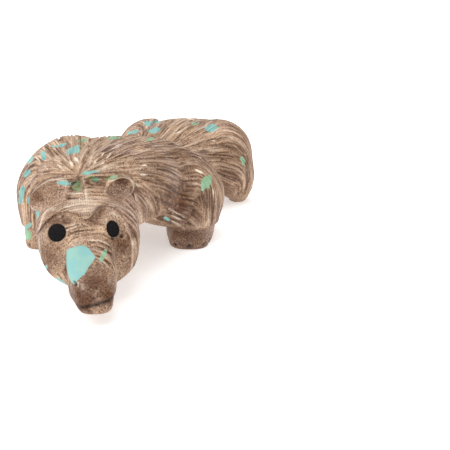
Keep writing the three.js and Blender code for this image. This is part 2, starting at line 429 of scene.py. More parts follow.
verts, faces = joined_forms()
skin = evaluated(
    new_mesh("forms", verts, faces),
    ("REMESH", {"mode": "VOXEL", "voxel_size": VOXEL}),
    ("SMOOTH", {"factor": 0.5, "iterations": SMOOTHING_ROUNDS}),
)
points = vectors_of(skin.vertices, "co")


def normals_now():
    """The skin's normals with its vertices where the points now are."""
    skin.vertices.foreach_set("co", points.astype(np.float32).ravel())
    skin.update()
    return vectors_of(skin.vertex_normals, "vector")


class View:
    """A view of the carving in the photograph: azimuth, elevation and roll in degrees, distance in
    millimetres, pixels to a millimetre at the origin, and the pixel where the origin lies."""

    def __init__(self, azimuth, elevation, roll, distance, scale, origin_pixel):
        a, e, r = (math.radians(v) for v in (azimuth, elevation, roll))
        self.back = np.array([math.sin(a) * math.cos(e), -math.cos(a) * math.cos(e), math.sin(e)])
        level = np.array([math.cos(a), math.sin(a), 0])
        up = np.cross(self.back, level)
        self.right = level * math.cos(r) + up * math.sin(r)
        self.up = up * math.cos(r) - level * math.sin(r)
        self.distance, self.scale, self.origin_pixel = distance, scale, np.array(origin_pixel)

    def pixels(self, points):
        """Where points show: the offset to the right and down, scaled by distance over depth."""
        scale = self.scale * self.distance / (self.distance - points @ self.back)
        offset = np.stack([points @ self.right, -(points @ self.up)], axis=-1)
        return self.origin_pixel + offset * scale[..., None]

    def ray(self, pixel):
        """The eye's place and the direction in which it sees a pixel."""
        across, down = (np.array(pixel) - self.origin_pixel) / (self.scale * self.distance)
        return Vector(self.back * self.distance), Vector(self.right * across - self.up * down - self.back)


IMAGE = 450
FRONT = View(20.9, 18.47, -1.24, 99.9, 6.644, (135.23, 238.33))
REAR = View(173.12, 22.71, -0.74, 91.1, 4.47, (329.3, 187.4))


def toned(points, size, seed, waves=24):
    """Smooth noise with a spread of about 1: the sum of sine waves a size apart, in random ways."""
    draw = np.random.default_rng(seed)
    ways = unit(draw.normal(size=(waves, 3))) * draw.uniform(0.7, 1.4, (waves, 1)) * (2 * math.pi / size)
    phases = draw.uniform(0, 2 * math.pi, waves)
    return np.sin(points @ ways.T + phases).sum(axis=1) * math.sqrt(2 / waves)


def ellipse_away(seen, row):
    """How far pixels lie from the middle of an ellipse, with 1 on its edge. The row gives x, y, half
    length, half width, and the turn of the length in degrees, rising to the right."""
    x, y, half_length, half_width, turn = row[:5]
    a = math.radians(turn)
    dx, dy = (seen - (x, y)).T
    along = dx * math.cos(a) - dy * math.sin(a)
    across = dx * math.sin(a) + dy * math.cos(a)
    return np.hypot(along / half_length, across / half_width)


# Places of the head as the photograph shows them, in pixels of its 450 by 450 frame: the edge of the
# brow, and the hollows about the eyes and in the ears. After its ellipse a hollow's row gives its depth in
# millimetres and the way from its middle, in degrees, to the side where its rim stands out.
BROW = [
    (36, 236), (43, 226), (49.5, 219.5), (58.4, 213.4), (65.3, 212), (73.2, 213.4), (79.2, 216.8),
    (85.6, 220), (91, 217.6), (95, 211.5), (99, 207), (106, 206), (114, 208), (121, 214), (129, 226),
]
HOLLOWS = [
    (54.0, 243.0, 33.0, 14.5, -86, 0.35, 165),
    (111.0, 224.5, 15.0, 11.5, -55, 0.2, 50),
    (121.5, 248.0, 28.0, 10.5, -83, 0.45, 0),
]
EAR_HOLLOWS = [(119.5, 190.0, 14.5, 10.5, 32, 1.1, 60), (49.0, 195.0, 21.5, 12.0, 27, 0.8, 165)]
HOLLOW_RIM = 0.1
RIM_AWAY = 1.05
RIM_WIDTH = 0.05

# The step below the brow in millimetres, and in pixels its edge, its fade downwards, the end of the smooth
# strip along it, and where it dies out at each side.
BROW_DEPTH = 0.62
BROW_EDGE = (-1.0, 1.4)
BROW_FADE = (12, 40)
BROW_STRIP = (8, 13)
BROW_ENDS = ((34, 40), (131, 125))

# How far back from between the eyes the face ends, and the ears begin and end, in millimetres.
FACE_END = (3.4, 2.6)
EAR_FRONT = 1.5
EAR_BACK = 7.5


def sink_head():
    """Sinks the face below the brow, and the hollows, straight back into the head. The floor of a hollow
    is 1 less the fourth power of the distance, and a low ridge stands about part of it. Returns the
    points, how far each is in a hollow or just below the brow, and how near a ridge."""
    in_face = seen_in(face, points)
    seen = FRONT.pixels(points)
    normals = normals_now()
    facing = smoothstep(0.05, 0.4, normals @ FRONT.back)
    on_face = facing * smoothstep(*FACE_END, in_face[:, 1])
    on_ears = facing * (in_face[:, 1] > EAR_FRONT) * (in_face[:, 1] < EAR_BACK)
    brow = np.array(BROW)
    line = curve(np.column_stack([brow, 0 * brow[:, 0]]), np.linspace(0, 1, 90))
    under = seen[:, 1] - np.interp(seen[:, 0], line[:, 0], line[:, 1])
    beside = smoothstep(*BROW_ENDS[0], seen[:, 0]) * smoothstep(*BROW_ENDS[1], seen[:, 0])
    step = BROW_DEPTH * smoothstep(*BROW_EDGE, under)
    depth = step * (1 - smoothstep(*BROW_FADE, under)) * beside * on_face
    hollow = smoothstep(-0.5, 1.5, under) * (1 - smoothstep(*BROW_STRIP, under)) * beside * on_face
    rim = np.zeros(len(points))
    for rows, place in ((HOLLOWS, on_face), (EAR_HOLLOWS, on_ears)):
        for row in rows:
            away = ellipse_away(seen, row)
            depth += row[5] * np.clip(1 - away**4, 0, 1) * place
            hollow = np.maximum(hollow, smoothstep(1.02, 0.92, away) * place)
            turn = np.arctan2(row[1] - seen[:, 1], seen[:, 0] - row[0]) - math.radians(row[6])
            ridge = np.exp(-((away - RIM_AWAY) / RIM_WIDTH) ** 2) * smoothstep(-0.1, 0.6, np.cos(turn))
            rim = np.maximum(rim, ridge * place)
    depth -= HOLLOW_RIM * rim * (1 - hollow)
    return points + axis_of(face, 1) * depth[:, None], hollow, rim * (1 - hollow)


points, in_hollow, rim = sink_head()


MOUTH_HEIGHT = -5.35
MOUTH_SLANT = 0.2
MOUTH_CORNERS = 4.6
MOUTH_FADE = 1.2
MOUTH_DEPTH = 0.5
MOUTH_HALF = 0.26
LIP = 0.22
LIP_EDGE = (0.05, -0.25)
JAW_FOOT = (-1.8, -1.2)


def cut_mouth():
    """A slit round the end of the muzzle, with the lower jaw set back a little beneath it."""
    x, y, z = seen_in(face, points).T
    over = z - (MOUTH_HEIGHT + MOUTH_SLANT * x)
    forward = smoothstep(MOUTH_CORNERS, MOUTH_CORNERS + MOUTH_FADE, -y)
    slit = np.clip(1 - (over / MOUTH_HALF) ** 2, 0, 1) * MOUTH_DEPTH
    jaw = LIP * smoothstep(*LIP_EDGE, over) * smoothstep(*JAW_FOOT, over)
    inwards = normals_now() * [1, 1, 0.2]
    moved = points - inwards * ((slit + jaw) * forward)[:, None]
    return moved, np.clip(1 - (over / (1.1 * MOUTH_HALF)) ** 2, 0, 1) * forward


points, in_mouth = cut_mouth()


def eye_axes(side):
    """The place of an eye, with z out of the head along the eye's own axis."""
    place = (EYES_OFF_MIDDLE + side * EYE_SPACING / 2, -EYE_FORWARD, EYE_HEIGHT)
    turn = Matrix.Rotation(math.radians(side * EYE_OUTWARD[side]), 4, "Z")
    tilt = Matrix.Rotation(math.radians(90 - EYE_UPWARD[side]), 4, "X")
    return face @ Matrix.Translation(place) @ turn @ tilt @ Matrix.Translation((0, 0, -EYE_SUNK))


EYE_SEAT = (1.1, 1.8)
EYE_SOCKET = 0.3
EYE_STANDS_OUT = 0.02


def seat_eye(side):
    """Levels the skin about an eye to the eye's own rim, and sinks it under the eye."""
    axes = eye_axes(side)
    x, y, z = seen_in(axes, points).T
    away = np.hypot(x, y)
    near = (1 - smoothstep(*EYE_SEAT, away)) * (np.abs(z) < 2.2)
    level = -EYE_SOCKET * (1 - smoothstep(0.85, 1.02, away / EYE_RADIUS[side])) - EYE_STANDS_OUT
    return points + axis_of(axes, 2) * (near * (level - z))[:, None]


for side in (1, -1):
    points = seat_eye(side)


TOES = 5
TOE_DEPTH = 0.3
TOE_FOOT = (0.15, 0.45)
TOE_TOP = (0.6, 1.1)
ANKLE_HEIGHT = 2.6
ANKLE_EDGE = 0.35
ANKLE_FADE = 0.6
ANKLE_DEPTH = 0.32
PAW_END = (4.6, 5.6)


def shape_paw(side):
    """Sets the paw in under the leg, less and less towards the ground, and cuts notches between the toes
    in front. A notch is the eighth power of a cosine round the paw."""
    x, y, z = seen_in(shoulders, points).T
    x = x - side * PAW_OUT[side]
    y = y + PAW_FORWARD
    near = 1 - smoothstep(*PAW_END, np.hypot(x, y))
    under_leg = smoothstep(ANKLE_HEIGHT + ANKLE_EDGE, ANKLE_HEIGHT, z)
    ankle = under_leg * smoothstep(ANKLE_FADE, ANKLE_HEIGHT, z) * ANKLE_DEPTH
    spread = np.arctan2(x, -y) / math.pi * 2
    toe = np.abs(np.cos(spread * TOES * math.pi / 2)) ** 8 * (np.abs(spread) < 0.9)
    low = smoothstep(*TOE_FOOT, z) * (1 - smoothstep(*TOE_TOP, z))
    notch = toe * TOE_DEPTH * low * (y < 0)
    moved = points - normals_now() * (near * (ankle + notch))[:, None]
    return moved, near * toe * low * (y < 0)


in_notch = np.zeros(len(points))
for side in (1, -1):
    points, share = shape_paw(side)
    in_notch = np.maximum(in_notch, share)
points[:, 2] = np.maximum(points[:, 2], 0)

normals = normals_now()

corners = np.empty(len(skin.polygons) * 4, np.int32)
skin.polygons.foreach_get("vertices", corners)
corners = corners.reshape(-1, 4)
tree = BVHTree.FromPolygons(points.tolist(), corners.tolist())

TURQUOISE, GREEN, OLIVE = 0.0, 0.5, 1.0

# Patches of other stone by their tone, where the two views of the photograph show them: x and y in its 450
# by 450 frame, half length and half width in pixels, and the turn of the length in degrees.
FRONT_PATCHES = {
    TURQUOISE: [
        (74.5, 149.5, 7.0, 3.4, 12), (69.5, 152, 3.4, 2.2, 0), (43, 155, 3.2, 3.4, 40),
        (30, 160, 2.2, 4.4, -40), (26.5, 173, 2.6, 3.8, -30), (21.5, 191, 2.4, 4.6, -20),
        (20.5, 200, 2.2, 5.0, -20), (28, 201, 1.2, 3.4, 0), (91, 172, 9.0, 2.0, 10),
        (64.7, 183, 8.0, 2.6, -4), (37.5, 213.6, 2.0, 3.6, -10), (46, 267.5, 1.6, 5.0, -40),
        (60.5, 281, 6.5, 1.8, -28), (166, 218.6, 3.0, 2.2, -20), (28, 226, 2.0, 5.0, -50),
        (154.5, 130, 7.0, 2.8, 8), (149, 123, 5.0, 2.4, 12), (157.5, 121.6, 3.0, 1.6, 12),
        (212, 127.5, 6.4, 3.8, 14), (133, 132, 5.0, 1.6, 18), (62, 144.6, 5.0, 1.4, 10),
        (53, 146, 4.0, 1.2, 10),
    ],
    GREEN: [
        (95.5, 179, 5.0, 2.4, -10), (27.5, 235, 4.0, 5.0, 0), (104, 254.5, 2.6, 6.5, -25),
        (103, 297, 4.6, 1.5, 15), (206.5, 182, 5.2, 7.4, -10), (150, 139, 4.6, 1.4, 14),
        (113, 137.5, 6.0, 1.4, 2), (83, 139.5, 5.0, 1.5, 14), (243, 160.5, 2.0, 5.0, 20),
        (195, 123.4, 4.0, 1.4, 5),
    ],
    OLIVE: [(77.5, 186.5, 5.2, 4.6, 0), (91, 177, 4.0, 1.4, 0), (112.5, 177.5, 5.4, 2.8, 14)],
}
REAR_PATCHES = {
    TURQUOISE: [
        (366, 129.5, 9.0, 2.4, -12), (350.5, 139.5, 5.4, 3.2, 0), (367, 139.5, 7.5, 3.2, -20),
        (356, 145.5, 5.4, 1.8, 5), (393, 145, 1.4, 5.0, 0), (366, 152, 4.6, 1.2, -10),
        (377, 154, 6.0, 2.2, -12), (389, 158.5, 5.0, 1.7, -16), (367.5, 163.5, 6.4, 2.8, 0),
        (352, 168, 6.0, 2.1, -14), (314, 163, 5.4, 1.7, 12), (347.5, 188, 2.8, 4.6, 0),
    ],
    GREEN: [
        (370, 174, 7.0, 3.2, 12), (335, 160, 4.6, 2.0, 0), (339, 198, 8.2, 7.0, 0), (335, 178, 3.0, 1.8, 0),
    ],
    OLIVE: [
        (328.5, 144, 4.2, 3.6, 0), (355, 183, 4.6, 5.4, 0), (321, 324, 4.2, 9.5, 5),
        (322.5, 218, 3.0, 4.0, 0),
    ],
}
# The outline of the patch on the muzzle, and the pixels inside it over which it sets in.
MUZZLE_PATCH_EDGE = 4
MUZZLE_PATCH = [
    (78.8, 245), (84, 244.8), (89, 248.6), (95.6, 257), (92, 266), (82.5, 275.5),
    (73.8, 287), (68.6, 277), (65.8, 264), (66.6, 249.5),
]

# Rust-brown places, as x, y, radius and strength: partly the stone's own rust, and partly painted shade where
# the muzzle's front, the chest, the shoulders and the hollows under the brow turn from the light.
FRONT_RUST_AND_SHADE = [
    (180, 150, 24, 0.55), (190, 160, 22, 0.6), (160, 172, 20, 0.5), (178, 203, 27, 1.0), (155, 190, 14, 0.6),
    (200, 200, 14, 0.6), (122, 181, 9, 1.0), (134, 190, 7, 1.0), (120, 192, 15, 0.4), (122, 245, 16, 0.85),
    (95, 284, 21, 1.0), (78, 297, 16, 1.0), (47, 256, 17, 0.75), (194, 242, 22, 0.7), (215, 180, 14, 0.5),
    (55, 222, 10, 0.8), (66, 220, 7, 0.8), (100, 211, 6, 1.0), (94, 221, 9, 0.8), (131, 236, 8, 0.9),
    (96, 277, 12, 1.0), (86, 302, 18, 1.0), (110, 296, 14, 1.0), (234, 165, 24, 0.5), (214, 205, 16, 0.4),
    (38, 196, 10, 0.9), (48, 193, 15, 0.45), (88, 240, 16, 0.3), (147, 200, 13, 0.5), (130, 262, 14, 0.6),
    (160, 212, 14, 0.6), (119, 192, 11, 0.5), (226, 186, 13, 0.6),
]
REAR_RUST_AND_SHADE = [
    (325, 138, 14, 0.6), (396, 174, 9, 1.0), (290, 190, 14, 0.5), (340, 180, 10, 0.4), (330, 245, 14, 0.5),
    (285, 145, 8, 0.4),
]

# Pits and nicks, as x, y, half length, half width and turn. Besides being sunk, they are painted near black
# as shade.
FRONT_PITS = [
    (62.4, 216, 3.6, 0.9, 58), (113, 238.5, 2.4, 1.2, 10), (121.5, 236, 1.7, 1.9, 0),
    (91.5, 187, 2.0, 1.0, 0), (75, 283, 1.4, 3.6, 30), (71, 197.5, 6.0, 1.0, 4),
    (157, 197.5, 3.0, 1.0, -30), (182, 162.5, 2.2, 0.9, 0),
]
REAR_PITS = [
    (313, 197, 1.8, 5.0, 0), (360, 209.5, 4.5, 1.6, -40), (337, 183, 2.0, 2.0, 0), (354, 262, 1.4, 2.0, 0),
]

# Pale chips, scratches and veins, as x, y, half length, half width, turn and strength. In front some are
# painted highlight on lit edges of the brow and forehead, and the broadest is a faint painted highlight over
# the forehead.
FRONT_PALE_AND_HIGHLIGHT = [
    (46, 167, 3.8, 0.7, -45, 0.8), (60.5, 166.7, 6.0, 0.8, -43, 0.9), (71.3, 163, 3.6, 1.7, -70, 1.0),
    (76.7, 159.8, 4.2, 1.8, -55, 1.0), (37.2, 158.5, 3.8, 0.8, -48, 0.9), (43.7, 148.7, 2.0, 0.8, -50, 0.7),
    (70.4, 141.4, 2.4, 0.8, -60, 0.7), (90, 161.5, 5.5, 0.7, 72, 0.8), (95, 162, 3.6, 0.8, 52, 0.9),
    (102.9, 153, 3.2, 0.9, 55, 0.9), (108.7, 155.4, 5.4, 0.8, 42, 0.9), (102, 163, 3.8, 0.7, 33, 0.8),
    (115.5, 147.5, 7.0, 0.6, 24, 0.8), (104.9, 166, 4.0, 0.6, 25, 0.8), (118.7, 144.9, 5.0, 0.7, 17, 0.7),
    (60, 178.8, 14.0, 0.7, 5, 0.7), (144, 165.2, 6.0, 1.0, 3, 1.0), (144, 174.2, 6.0, 0.6, -1, 0.9),
    (199.2, 171.3, 6.2, 1.3, -27, 1.0), (213.5, 192.4, 4.2, 0.6, 90, 0.9),
    (173.5, 211.3, 12.0, 0.7, -28, 0.8),
    (176, 217.6, 7.0, 1.2, -28, 0.6), (176.5, 223.6, 7.0, 1.2, -30, 0.5), (137.3, 184.9, 3.2, 0.9, -45, 0.9),
    (212.8, 140.5, 3.6, 0.8, -15, 0.9), (231.2, 137.6, 2.6, 0.8, -15, 0.7), (178, 132.2, 5.5, 1.0, 14, 0.7),
    (190.5, 118.7, 4.0, 0.8, -5, 0.8), (116.2, 214.9, 5.6, 1.7, -28, 0.8), (133, 243, 6.0, 0.9, 92, 0.8),
    (106.4, 220.5, 3.2, 0.8, -35, 0.7), (79.6, 285.5, 5.0, 0.6, -48, 0.9), (108.8, 279.6, 3.0, 0.6, -45, 0.7),
    (93.5, 240.2, 4.0, 0.6, -18, 0.8), (83.5, 181, 5.0, 1.2, -80, 0.9), (86, 195, 10.0, 1.6, -86, 0.55),
    (80, 201, 6.5, 0.6, -85, 0.8), (75.5, 193.2, 7.5, 0.7, 3, 0.9), (97, 303.2, 12.0, 0.6, 16, 0.6),
    (124, 259.4, 1.2, 1.0, 0, 0.9), (57.4, 258.4, 1.5, 1.0, 0, 0.8),
    (84, 206, 20.0, 10.0, 0, 0.22),
]
REAR_PALE = [
    (287, 141, 2.6, 1.0, 80, 0.9), (294, 140, 2.6, 1.0, 80, 0.9), (300, 139, 2.6, 0.9, 80, 0.8),
    (308, 138, 2.4, 0.9, 80, 0.8), (291, 148, 2.4, 0.9, 80, 0.8), (300, 146, 2.6, 0.9, 80, 0.9),
    (309, 147, 2.4, 0.8, 80, 0.8), (316, 145, 2.4, 0.8, 80, 0.8), (356, 205, 2.0, 5.0, 0, 0.6),
    (392, 200, 1.6, 6.0, -8, 0.6), (388, 190, 1.2, 5.0, -20, 0.7), (334.5, 317, 1.4, 1.2, 0, 0.8),
]

# A mark lies only where the skin turns to its own view at least this much more than to the other view.
TURNED_MORE = {"front": -0.25, "rear": 0.12}
# The unevenness of their edges comes and goes over this many millimetres.
EDGE_SIZE = 1.5
EDGE_SEED = 5


def marked(view, rows, half_sizes, roughness):
    """How far inside the nearest mark each point lies, and the row of that mark. A mark is an ellipse in
    the view, on the skin that its middle shows, with an uneven edge."""
    seen = view.pixels(points)
    other, lead = (REAR, TURNED_MORE["front"]) if view is FRONT else (FRONT, TURNED_MORE["rear"])
    facing = normals @ view.back
    shown = (facing > -0.1) & (facing - normals @ other.back > lead)
    uneven = 1 + roughness * toned(points, EDGE_SIZE, EDGE_SEED)
    inside = np.full(len(points), -9.0)
    mark = np.zeros(len(points), int)
    for number, row in enumerate(rows):
        hit, _, _, _ = tree.ray_cast(*view.ray(row[:2]))
        if hit is None:
            continue
        sizes = half_sizes(row)
        reach = 1.8 * max(sizes[:2]) / view.scale + 1.5
        near = np.flatnonzero((np.linalg.norm(points - np.array(hit), axis=1) < reach) & shown)
        share = 1 - ellipse_away(seen[near], (*row[:2], *sizes)) * uneven[near]
        closer = share > inside[near]
        inside[near[closer]] = share[closer]
        mark[near[closer]] = number
    return inside, mark


def polygon_inside(seen, corners):
    """Signed distance in pixels inside a convex outline: the least of the distances to its sides."""
    corners = np.array(corners, float)
    sides = np.roll(corners, -1, axis=0) - corners
    inwards = unit(np.stack([-sides[:, 1], sides[:, 0]], axis=1))
    return np.min(np.einsum("ijk,jk->ij", seen[:, None] - corners, inwards), axis=1)


def patches():
    """How far inside a patch each point lies, from -1 to 1, the tone of the nearest patch, and 0 to 1 for
    the smooth patch on the muzzle."""
    inside = np.full(len(points), -9.0)
    tone = np.zeros(len(points))
    for view, groups in ((FRONT, FRONT_PATCHES), (REAR, REAR_PATCHES)):
        rows = [(*row, stone) for stone, group in groups.items() for row in group]
        share, mark = marked(view, rows, long_sizes, 0.16)
        tones = np.array([row[-1] for row in rows])[mark]
        closer = share > inside
        tone[closer] = tones[closer]
        inside = np.maximum(inside, share)
    on_muzzle = (seen_in(face, points)[:, 1] < 1) & (normals @ FRONT.back > 0)
    muzzle_inside = polygon_inside(FRONT.pixels(points), MUZZLE_PATCH) / MUZZLE_PATCH_EDGE
    muzzle_inside = np.where(on_muzzle, muzzle_inside, -1)
    tone[muzzle_inside > -0.6] = TURQUOISE
    smooth = np.clip(muzzle_inside * MUZZLE_PATCH_EDGE, 0, 1)
    return np.clip(np.maximum(inside, muzzle_inside), -1, 1), tone, smooth


def marks(rows_of_views, half_sizes, roughness, full):
    """0 to 1 for the marks of the kind given, rising from the edge of each to the place inside it where
    it is full, and times the strength that closes a mark's row."""
    value = np.zeros(len(points))
    for view, rows in rows_of_views:
        share, mark = marked(view, rows, half_sizes, roughness)
        strength = np.array([row[-1] for row in rows])[mark]
        value = np.maximum(value, strength * smoothstep(0, full, share))
    return value


def round_sizes(row):
    return row[2] * 1.5, row[2] * 1.5, 0


def long_sizes(row):
    return row[2:5]


patch, patch_tone, on_muzzle_patch = patches()
# Rust-brown marks: partly real rust, partly painted shade on the sides turned from the light.
rust_and_shade = marks(((FRONT, FRONT_RUST_AND_SHADE), (REAR, REAR_RUST_AND_SHADE)), round_sizes, 0.1, 0.9)
# Pale marks: real chips, scratches and veins, and in front painted highlight on lit edges and over the
# forehead.
pale_and_highlight = marks(((FRONT, FRONT_PALE_AND_HIGHLIGHT), (REAR, REAR_PALE)), long_sizes, 0.1, 0.45)
deep = [[(*row, 1.0) for row in rows] for rows in (FRONT_PITS, REAR_PITS)]
pits = marks(((FRONT, deep[0]), (REAR, deep[1])), long_sizes, 0.15, 0.5)

# Where the fur parts and runs to, and in millimetres along the body where one run gives way to the next.
COLLAR_MIDDLE = np.array([-1.3, -15.5, 12.5])
REAR_SOURCE = np.array([-2.0, 0.0, 12.0])
TAIL_ROOT = np.array([0.3, 24.0, 10.5])
TAIL_TIP = np.array([7.6, 53.5, 0.3])
MUZZLE_MIDDLE = (-0.2, -4.5, -2.6)
COLLAR = 6.7
COLLAR_EDGE = 0.3
WAIST = (8, 15)
TAIL_STARTS = (27.5, 30.5)
TAIL_NARROWS = (28, 38)
RUMP_ENDS = (31.5, 29.5)

# The strokes on a leg circle an upright sheet along the body. On each side, how far out it stands and the
# heights of its foot and top.
FORELEG_SHEETS = {1: (10.8, 3.6, 8.4), -1: (11.4, 3.0, 7.0)}
HINDLEG_SHEETS = {1: (7.6, 1.0, 2.4), -1: (6.6, 1.0, 2.4)}


def over_leg(way, p, axes, sheets, outwards, lengthways):
    """The ways of the fur, turned on a leg to circle its sheet: outwards above it, down beside it and
    inwards below it. They turn between the two places given outwards from the sheet, and between the two
    given along the body."""
    inside = seen_in(axes, p)
    side = np.sign(inside[:, :1])
    sheet = np.where(side > 0, sheets[1], sheets[-1])
    out = np.abs(inside[:, :1]) - sheet[:, :1]
    over = inside[:, 2:] - np.clip(inside[:, 2:], sheet[:, 1:2], sheet[:, 2:])
    down = [0.0, 0.0, 1.0] * np.maximum(out, 0.2)
    leg_way = unit(axis_of(axes, 0) * side * over - down)
    return way + (leg_way - way) * smoothstep(*outwards, out) * smoothstep(*lengthways, inside[:, 1:2])


def fur_flow(p, n):
    """The way the fur lies at each point, as unit vectors in the skin. It leaves the collar in all
    directions, turns down over the outer sides of the legs, falls straight behind them, runs from the
    root of the tail to its tip, and circles the muzzle on the head."""
    back = p[:, 1:2]
    front = over_leg(unit(p - COLLAR_MIDDLE), p, shoulders, FORELEG_SHEETS, (-0.5, 1.4), (9.0, 6.0))
    rear = over_leg(unit(p - REAR_SOURCE), p, haunches, HINDLEG_SHEETS, (-2.0, 2.5), (-9.5, -6.0))
    body = unit(front) + (unit(rear) - unit(front)) * smoothstep(*WAIST, back)
    tail_way = unit(p - TAIL_ROOT) * (1 - smoothstep(*TAIL_NARROWS, back)) + unit(TAIL_TIP - p)
    body = body + (tail_way - body) * smoothstep(*TAIL_STARTS, back)
    centre = np.array(face @ Vector(MUZZLE_MIDDLE))
    head_way = unit(np.cross(-axis_of(face, 1), p - centre))
    on_head = smoothstep(COLLAR + COLLAR_EDGE, COLLAR - COLLAR_EDGE, seen_in(face, p)[:, 1:2])
    behind = smoothstep(0.2, 0.6, n[:, 1:2]) * smoothstep(*RUMP_ENDS, back)
    body = body + ([0.0, 0.0, -1.0] - body) * behind
    way = body + (head_way - body) * on_head
    way -= n * np.sum(way * n, axis=1, keepdims=True)
    return unit(way), on_head[:, 0]


class Buckets:
    """Points sorted into cells, to find those near a place or beside a line. A cell's key is the sum of
    its three numbers times the steps below."""

    ROWS = np.array([1, 2000, 4000000])

    def __init__(self, points, cell):
        self.points, self.cell = points, cell
        keys = self.key(points)
        self.order = np.argsort(keys, kind="stable")
        self.keys, self.starts = np.unique(keys[self.order], return_index=True)
        self.ends = np.append(self.starts[1:], len(points))
        around = np.arange(-1, 2)
        self.around = np.stack(np.meshgrid(around, around, around), -1).reshape(-1, 3)

    def key(self, places):
        return np.floor(places / self.cell).astype(int) @ self.ROWS

    def any_near(self, places, otherwise):
        """One point in the cell of each place, or the one given where the cell has none."""
        wanted = self.key(places)
        at = np.minimum(np.searchsorted(self.keys, wanted), len(self.keys) - 1)
        return np.where(self.keys[at] == wanted, self.order[self.starts[at]], otherwise)

    def beside(self, line, reach):
        """Which points lie within reach of the line, how far off each is, and how far along."""
        cells = np.unique(np.floor(line / self.cell).astype(int), axis=0)
        wanted = np.unique((cells[:, None] + self.around).reshape(-1, 3) @ self.ROWS)
        at = np.minimum(np.searchsorted(self.keys, wanted), len(self.keys) - 1)
        at = at[self.keys[at] == wanted]
        picked = np.concatenate([self.order[self.starts[k]:self.ends[k]] for k in at])
        start, step = line[:-1], np.diff(line, axis=0)
        offset = self.points[picked][:, None] - start
        share = np.clip(np.sum(offset * step, 2) / np.maximum(np.sum(step * step, 1), 1e-9), 0, 1)
        off = np.linalg.norm(offset - share[..., None] * step, axis=2)
        nearest = np.argmin(off, axis=1)
        rows = np.arange(len(picked))
        off = off[rows, nearest]
        along = (nearest + share[rows, nearest]) / len(step)
        keep = off < reach
        return picked[keep], off[keep], along[keep]


STEP = 0.3
SEEDS = 60000
LEAST_DEPTH = 0.01
# In shares of the gap between strokes: how near an earlier one a stroke may start, how near it may come,
# and how far from its line it counts.
START_APART = 0.8
COME_APART = 0.5
COUNTS_TO = 1.2
# A stroke's length, width and depth are drawn between these shares: of the usual length where it starts,
# of the gap and of the usual depth.
LENGTHS = (0.5, 1.4)
WIDTHS = (0.26, 0.44)
DEPTHS = (0.45, 1.15)
SKEW = 0.05


def comb(way, gap, length, depth):
    """Strokes laid side by side over the skin. A stroke starts at a bare place, follows the way of the
    fur both ways, and stops at its length or where it comes too near an earlier one. Across it the cut is
    1 less the square of the distance. Returns how deep each point is cut, and a number from 0 to 1 for the
    stroke nearest to it."""
    buckets = Buckets(points, 1.0)
    nearest = np.full(len(points), 9.0)
    cut = np.zeros(len(points))
    lock = np.zeros(len(points))
    for seed in rng.permutation(len(points))[:SEEDS]:
        if depth[seed] <= LEAST_DEPTH or nearest[seed] < START_APART * gap[seed]:
            continue
        half_steps = int(length[seed] * rng.uniform(*LENGTHS) / 2 / STEP)
        skew = rng.normal(0, SKEW)
        line = []
        for sign in (-1, 1):
            here, half = Vector(points[seed]), []
            for _ in range(half_steps):
                place, normal, index, _ = tree.find_nearest(here)
                corner = corners[index, 0]
                if nearest[corner] < COME_APART * gap[corner] or depth[corner] <= LEAST_DEPTH:
                    break
                half.append(place[:])
                ahead = Vector(way[corner])
                here = place + (ahead + normal.cross(ahead) * skew) * (sign * STEP)
            line = half[::-1] + line if sign < 0 else line + half[1:]
        if len(line) < 3:
            continue
        found, off, along = buckets.beside(np.array(line), COUNTS_TO * gap[seed])
        taper = np.sin(np.pi * np.clip(0.1 + 0.88 * along, 0, 1)) ** 0.5
        width = gap[seed] * rng.uniform(*WIDTHS)
        groove = np.clip(1 - (off / width) ** 2, 0, 1) * taper * rng.uniform(*DEPTHS)
        cut[found] = np.maximum(cut[found], groove)
        closer = off < nearest[found]
        lock[found[closer]] = rng.random()
        nearest[found] = np.minimum(nearest[found], off)
    return cut, lock


STREAK_WIDTH = 0.34
STREAK_STEP = 0.25
STREAK_STEPS = 9
STREAK_CELL = 0.3
STREAK_SEED = 11


def streaks(way):
    """Fine streaks along the fur: noise averaged over a path that follows the fur both ways, brought to
    a spread of 1."""
    cells = Buckets(points, STREAK_CELL)
    total = toned(points, STREAK_WIDTH, STREAK_SEED)
    for sign in (-1, 1):
        place, nearest = points.copy(), np.arange(len(points))
        for _ in range(STREAK_STEPS):
            place = place + way[nearest] * (sign * STREAK_STEP)
            nearest = cells.any_near(place, nearest)
            n = normals[nearest]
            place -= n * np.sum((place - points[nearest]) * n, axis=1, keepdims=True)
            total += toned(place, STREAK_WIDTH, STREAK_SEED)
    return (total - total.mean()) / total.std()


# Where the smooth end of the muzzle begins, on the axes of the face, where a smooth paw ends outwards and
# upwards, and from which slope on the underside is smooth.
MUZZLE_SMOOTH = (-5.3, -6.3)
PAW_SMOOTH_OUT = 5.4
PAW_SMOOTH_UP = (2.9, 2.5)
UNDERSIDE = (-0.45, -0.75)


def smooth_places():
    """1 where the fur isn't cut: the hollows of the face and ears, the end of the muzzle, the paws and
    the underside."""
    smooth = np.maximum(in_hollow, on_muzzle_patch)
    smooth = np.maximum(smooth, smoothstep(*MUZZLE_SMOOTH, seen_in(face, points)[:, 1]))
    x, y, z = seen_in(shoulders, points).T
    for side in (1, -1):
        near = np.hypot(x - side * PAW_OUT[side], y + PAW_FORWARD) < PAW_SMOOTH_OUT
        smooth = np.maximum(smooth, near * smoothstep(*PAW_SMOOTH_UP, z))
    smooth = np.maximum(smooth, smoothstep(*UNDERSIDE, normals[:, 2]))
    return np.clip(smooth, 0, 1)


# The gap between strokes, their length and their depth in millimetres: on the body, and what the head and
# the tail add to it. The mane adds to the depth alone.
STROKE_GAP = (0.5, -0.07, 0.45)
STROKE_LENGTH = (6.5, -2.0, 9)
STROKE_DEPTH = (0.2, -0.07, 0.08)
MANE_DEEPER = 0.12
TAIL_FUR = (28, 31)
STREAK_DEPTH = 0.013
PIT_DEPTH = 0.3


